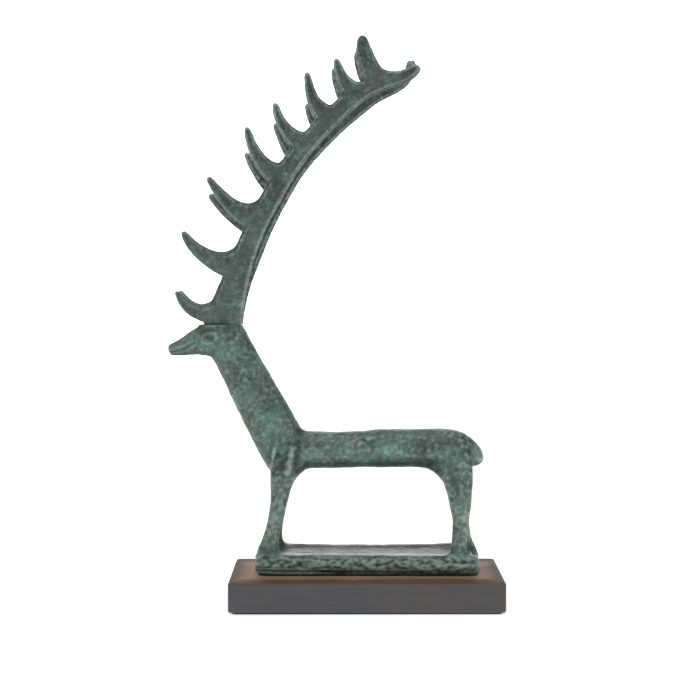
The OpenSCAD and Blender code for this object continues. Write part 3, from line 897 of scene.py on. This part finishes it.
def stained_wood():
    """Close-grained hardwood under a thin grey-brown stain and satin lacquer: faint grain along its
    length, and the warm wood showing where the stain was wiped thin round the bronze."""
    material, tree, shader, place = new_finish("stained_hardwood_satin")
    along = add(tree, "ShaderNodeMapping", {"Vector": place, "Scale": (0.06, 1, 1)}).outputs[0]
    grain = add(
        tree, "ShaderNodeTexNoise", {"Vector": along, "Scale": per_size(1.6), "Detail": 6, "Roughness": 0.6})
    broad = add(tree, "ShaderNodeTexNoise", {"Vector": place, "Scale": per_size(30), "Detail": 4})
    base = add(
        tree, "ShaderNodeValToRGB", {0: grain.outputs["Fac"]},
        stops=[(0.25, "#535659"), (0.5, "#585B5F"), (0.75, "#5E5F62")]).outputs["Color"]
    warm_mask = add(
        tree, "ShaderNodeValToRGB", {0: broad.outputs["Fac"]}, stops=[(0.42, 0.0), (0.7, 0.5)])
    base = add(
        tree, "ShaderNodeMix", {FACTOR: warm_mask.outputs["Color"], FIRST: base, SECOND: linear("#6B594E")},
        data_type="RGBA").outputs[MIXED]
    facing = add(tree, "ShaderNodeNewGeometry").outputs["Normal"]
    upward = add(tree, "ShaderNodeSeparateXYZ", {0: facing}).outputs[2]
    faded = add(
        tree, "ShaderNodeMapRange", {"Value": upward, "From Min": 0.6, "From Max": 0.95, "To Max": 0.9})
    base = add(
        tree, "ShaderNodeMix", {FACTOR: faded.outputs[0], FIRST: base, SECOND: linear("#62503F")},
        data_type="RGBA").outputs[MIXED]
    apart = add(tree, "ShaderNodeSeparateXYZ", {0: place})
    gaps = []
    for axis, half in ((0, PLATE_L / 2), (1, PLATE_W / 2)):
        size = add(tree, "ShaderNodeMath", {0: apart.outputs[axis]}, operation="ABSOLUTE").outputs[0]
        over = add(tree, "ShaderNodeMath", {0: size, 1: half * MM}, operation="SUBTRACT").outputs[0]
        gaps.append(over)
    nearest = add(tree, "ShaderNodeMath", {0: gaps[0], 1: gaps[1]}, operation="MAXIMUM").outputs[0]
    blurred = add(
        tree, "ShaderNodeMath", {0: broad.outputs["Fac"], 1: 14 * MM, 2: nearest}, operation="MULTIPLY_ADD")
    halo = add(
        tree, "ShaderNodeMapRange",
        {"Value": blurred.outputs[0], "From Min": 6 * MM, "From Max": 18 * MM, "To Min": 0.85, "To Max": 0.0})
    high = add(
        tree, "ShaderNodeMapRange",
        {"Value": apart.outputs[2], "From Min": (GROUND - 1.5) * MM, "From Max": (GROUND - 0.3) * MM})
    worn = add(tree, "ShaderNodeMath", {0: halo.outputs[0], 1: high.outputs[0]}, operation="MULTIPLY")
    base = add(
        tree, "ShaderNodeMix", {FACTOR: worn.outputs[0], FIRST: base, SECOND: linear("#BC987C")},
        data_type="RGBA").outputs[MIXED]
    fleck = add(tree, "ShaderNodeTexNoise", {"Vector": along, "Scale": per_size(0.8), "Detail": 2})
    fleck_mask = add(
        tree, "ShaderNodeValToRGB", {0: fleck.outputs["Fac"]}, stops=[(0.7, 0.0), (0.78, 0.35)])
    base = add(
        tree, "ShaderNodeMix", {FACTOR: fleck_mask.outputs["Color"], FIRST: base, SECOND: linear("#A5805F")},
        data_type="RGBA").outputs[MIXED]
    tree.links.new(base, shader.inputs["Base Color"])
    shader.inputs["Roughness"].default_value = 0.72
    shader.inputs["Specular IOR Level"].default_value = 0.07
    bump = add(tree, "ShaderNodeBump", {"Height": grain.outputs["Fac"], "Strength": 0.15, "Distance": 0.1 * MM})
    tree.links.new(bump.outputs[0], shader.inputs["Normal"])
    return material


def turned_bronze():
    """Bare turned bronze: warm metal with fine rings from the tool."""
    material, tree, shader, place = new_finish("turned_bare_bronze")
    rings = add(
        tree, "ShaderNodeTexWave", {"Vector": place, "Scale": per_size(1.2), "Distortion": 0.6, "Detail": 2},
        bands_direction="Z")
    base = add(
        tree, "ShaderNodeValToRGB", {0: rings.outputs["Fac"]}, stops=[(0.0, "#A87C4A"), (1.0, "#BE9460")])
    tree.links.new(base.outputs["Color"], shader.inputs["Base Color"])
    shader.inputs["Metallic"].default_value = 1.0
    shader.inputs["Roughness"].default_value = 0.32
    bump = add(tree, "ShaderNodeBump", {"Height": rings.outputs["Fac"], "Strength": 0.2, "Distance": 0.05 * MM})
    tree.links.new(bump.outputs[0], shader.inputs["Normal"])
    return material


def zinc_steel():
    """Zinc-plated steel: pale blue-grey metal with a faint cloudy passivation."""
    material, tree, shader, place = new_finish("zinc_plated_steel")
    cloudy = add(tree, "ShaderNodeTexNoise", {"Vector": place, "Scale": per_size(2.5), "Detail": 4})
    base = add(
        tree, "ShaderNodeValToRGB", {0: cloudy.outputs["Fac"]}, stops=[(0.3, "#B4B8BC"), (0.7, "#C9CBC6")])
    tree.links.new(base.outputs["Color"], shader.inputs["Base Color"])
    shader.inputs["Metallic"].default_value = 1.0
    shine = add(
        tree, "ShaderNodeMapRange", {"Value": cloudy.outputs["Fac"], "To Min": 0.25, "To Max": 0.45})
    tree.links.new(shine.outputs[0], shader.inputs["Roughness"])
    return material


def pressed_felt():
    """Pressed wool felt: matted fibres that scatter light and hide its colour's depth."""
    material, tree, shader, place = new_finish("pressed_wool_felt")
    fibres = add(
        tree, "ShaderNodeTexNoise",
        {"Vector": place, "Scale": per_size(0.7), "Detail": 6, "Roughness": 0.75, "Distortion": 1.5})
    base = add(
        tree, "ShaderNodeValToRGB", {0: fibres.outputs["Fac"]}, stops=[(0.3, "#141717"), (0.7, "#2A2E2E")])
    tree.links.new(base.outputs["Color"], shader.inputs["Base Color"])
    shader.inputs["Roughness"].default_value = 0.95
    shader.inputs["Sheen Weight"].default_value = 0.3
    bump = add(tree, "ShaderNodeBump", {"Height": fibres.outputs["Fac"], "Strength": 0.7, "Distance": 0.3 * MM})
    tree.links.new(bump.outputs[0], shader.inputs["Normal"])
    return material


def dress(piece, material, slot, *nodes):
    """Gives a piece its finish and its body, and hides the CAD nodes that it stands for. The slot is not used."""
    piece.data.materials.clear()
    piece.data.materials.append(material)
    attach(piece, "root")
    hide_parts(*nodes)


# ---------------------------------------------------------------- making it

stag = model_stag()
carve_stag(stag)
cast_skin(stag, 0.8, 0.4)
knobbly_rails(stag)
cut_flat(stag, SEAT_Z, keep_above=False)
cut_flat(stag, GROUND, keep_above=True)
ease_seam(stag, SEAT_Z)
smooth_shade(stag)
keep_wear_and_painted_shade(stag)
for side in (LEFT, RIGHT):
    drill(stag, SEAT_X, side * FOOT_Y, pin_low.z - 0.3, SEAT_Z + 2, 3.1)
for name in ("front_stud", "rear_stud"):
    stud_low, stud_high = node_box(name)
    drill(stag, (stud_low.x + stud_high.x) / 2, 0, GROUND - 2, stud_high.z + 0.05, 4.04)
stag.name = "stag_bronze"

left_antler = model_antler(LEFT, LEFT_BEAM, LEFT_TINES, "left_antler_bronze")
right_antler = model_antler(RIGHT, RIGHT_BEAM, RIGHT_TINES, "right_antler_bronze")

body_tone = [(0.3, "#263431"), (0.43, "#3D4E49"), (0.55, "#51685F"), (0.68, "#6F8F83")]
antler_tone = [(0.3, "#2D3735"), (0.45, "#434F4D"), (0.6, "#53635E"), (0.75, "#6C8279")]
body_bronze = patinated_bronze("patinated_bronze_body", body_tone, 0.75)
antler_bronze = patinated_bronze("patinated_bronze_antlers", antler_tone, 0.5)
# A darker copy of the antler patina for the far antler: painted shade, where the near antler shades it.
far_antler_shaded_tone = [(0.3, "#222A28"), (0.45, "#323C39"), (0.6, "#414E4A"), (0.75, "#5A6C65")]
far_antler_shaded_bronze = patinated_bronze("patinated_bronze_far_shaded", far_antler_shaded_tone, 0.25)
bare_bronze = turned_bronze()
steel = zinc_steel()
wood = stained_wood()
felt_cloth = pressed_felt()

dress(stag, body_bronze, "patinated_bronze", "stag_casting")
dress(left_antler, antler_bronze, "patinated_bronze", "left_antler")
# The far antler takes the darker copy of the patina as painted shade.
dress(right_antler, far_antler_shaded_bronze, "patinated_bronze", "right_antler")
plinth = make_plinth()
dress(plinth, wood, "stained_wood", "plinth")
for name in ("left_antler_pin", "right_antler_pin"):
    dress(make_pin(name), bare_bronze, "bare_bronze", name)
for end in ("front", "rear"):
    dress(make_stud(end + "_stud"), steel, "zinc_steel", end + "_stud")
    dress(make_washer(end + "_washer"), steel, "zinc_steel", end + "_washer")
    dress(make_nut(end + "_nut"), steel, "zinc_steel", end + "_nut")
felt = make_felt()
dress(felt, felt_cloth, "black_felt", "base_felt")

# ---------------------------------------------------------------- floor, light and camera


def stage_plane(name, size, place, angles, shade, glow):
    select_none()
    bpy.ops.mesh.primitive_plane_add(size=size, location=place, rotation=angles)
    sheet = bpy.context.object
    sheet.name = name
    material, tree, shader, _ = new_finish(name + "_paper")
    shader.inputs["Base Color"].default_value = linear(shade)
    shader.inputs["Roughness"].default_value = 0.9
    shader.inputs["Emission Color"].default_value = (1, 1, 1, 1)
    shader.inputs["Emission Strength"].default_value = glow
    sheet.data.materials.append(material)
    return sheet


def lamp(name, place, aim, size, power, shade="#FFFFFF"):
    data = bpy.data.lights.new(name, "AREA")
    data.shape = "RECTANGLE"
    data.size, data.size_y = size
    data.energy = power
    data.color = linear(shade)[:3]
    lamp_object = bpy.data.objects.new(name, data)
    lamp_object.location = place
    direction = Vector(aim) - Vector(place)
    lamp_object.rotation_euler = direction.to_track_quat("-Z", "Y").to_euler()
    bpy.context.scene.collection.objects.link(lamp_object)


stage_plane("floor", 8, (0, 2, 0), (0, 0, 0), "#F6F6F6", 0.55)
stage_plane("backdrop", 8, (0, 4, 2), (math.radians(90), 0, 0), "#FFFFFF", 0.2)

lamp("overhead_softbox", (-0.1, -0.25, 1.5), (0, 0, 0.12), (1.6, 1.2), 11)
lamp("front_softbox", (-1.1, -1.3, 0.6), (0, 0, 0.15), (1.0, 1.2), 3.4)
lamp("side_softbox", (1.3, -0.9, 0.5), (0, 0, 0.15), (0.8, 1.2), 4.1)
lamp("backdrop_wash", (0, 2.2, 1.8), (0, 4, 0.6), (3.0, 1.0), 160)

world = bpy.data.worlds.new("studio")
world.use_nodes = True
world.node_tree.nodes["Background"].inputs["Color"].default_value = (1, 1, 1, 1)
world.node_tree.nodes["Background"].inputs["Strength"].default_value = 0.16
bpy.context.scene.world = world
bpy.context.scene.view_settings.view_transform = "Standard"

camera_data = bpy.data.cameras.new("camera")
camera_data.lens = 81.6
camera_data.sensor_width = 36
camera = bpy.data.objects.new("camera", camera_data)
camera.location = (-12.16 * MM, -881.3 * MM, 187.4 * MM)
camera.rotation_euler = (math.radians(90) - 0.0529, 0, -0.0035)
bpy.context.scene.collection.objects.link(camera)
bpy.context.scene.camera = camera
